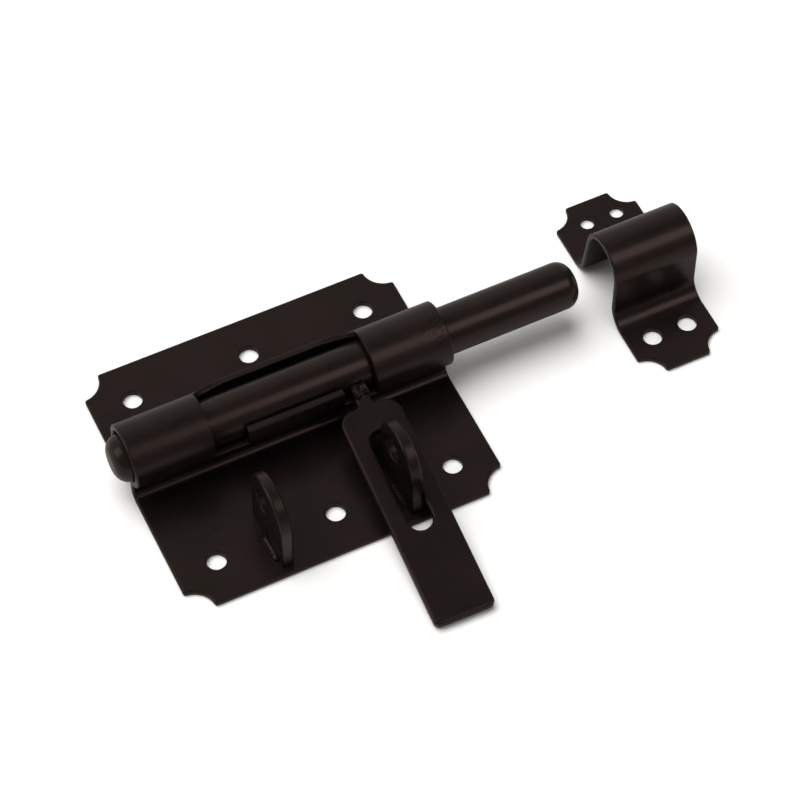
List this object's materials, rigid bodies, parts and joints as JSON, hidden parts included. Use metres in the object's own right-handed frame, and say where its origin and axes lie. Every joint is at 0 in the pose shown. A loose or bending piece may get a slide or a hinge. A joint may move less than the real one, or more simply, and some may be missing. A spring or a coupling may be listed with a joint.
{
  "type": "padbolt",
  "caption": "Black steel padbolt: a round bar slides and turns in a barrel rolled from a scalloped plate, with a slotted flat handle, padlock staples and a separate arched keeper.",
  "frame": {"origin": "middle of the plate's corner screws, on the face that lies against the door", "axes": "+X the way the bolt is thrown, +Y away from the handle, +Z away from the door"},
  "size_m": [0.2029, 0.133, 0.031],
  "materials": {
    "black_coat": "satin black powder coat on steel"
  },
  "bodies": {
    "plate": {"back_plate": "black_coat", "staple_left": "black_coat", "staple_right": "black_coat", "keeper": "black_coat"},
    "bolt": {"bolt": "black_coat"},
    "handle": {"handle": "black_coat"}
  },
  "joints": [
    {"name": "bolt_slide", "type": "slide", "parent": "plate", "child": "bolt", "axis": [1, 0, 0], "range_m": [0, 0.003]},
    {"name": "handle_lift", "type": "hinge", "parent": "bolt", "child": "handle", "pos_m": [0, 0.0048, 0.0171], "axis": [-1, 0, 0], "range_deg": [0, 90]}
  ]
}
